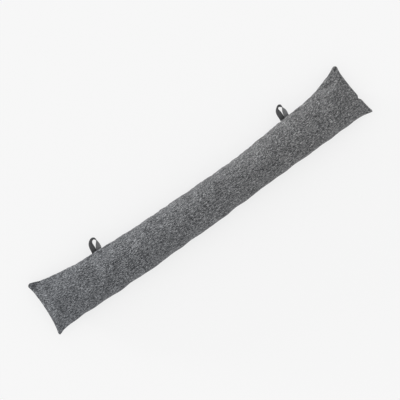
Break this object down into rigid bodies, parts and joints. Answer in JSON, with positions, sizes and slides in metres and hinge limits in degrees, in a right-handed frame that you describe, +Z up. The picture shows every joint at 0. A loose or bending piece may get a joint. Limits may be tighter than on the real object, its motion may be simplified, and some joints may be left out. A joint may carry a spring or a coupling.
{
  "type": "draught excluder",
  "caption": "Long filled cloth tube, flat at its sewn ends, with tape loops in its back seam; lies along a door's foot to stop draughts.",
  "frame": {"origin": "under the middle of the object's box, at the height of the surface it lies on", "axes": "+X along the tube, +Y towards the side with the loops, +Z up"},
  "size_m": [0.908, 0.1408, 0.0676],
  "materials": {
    "cover_cloth": "soft grey melange knit or brushed weave, matt",
    "loop_tape": "ribbed woven tape, dark grey, matt"
  },
  "bodies": {
    "root": {"cover": "cover_cloth", "loop_left": "loop_tape", "loop_right": "loop_tape"}
  },
  "joints": []
}
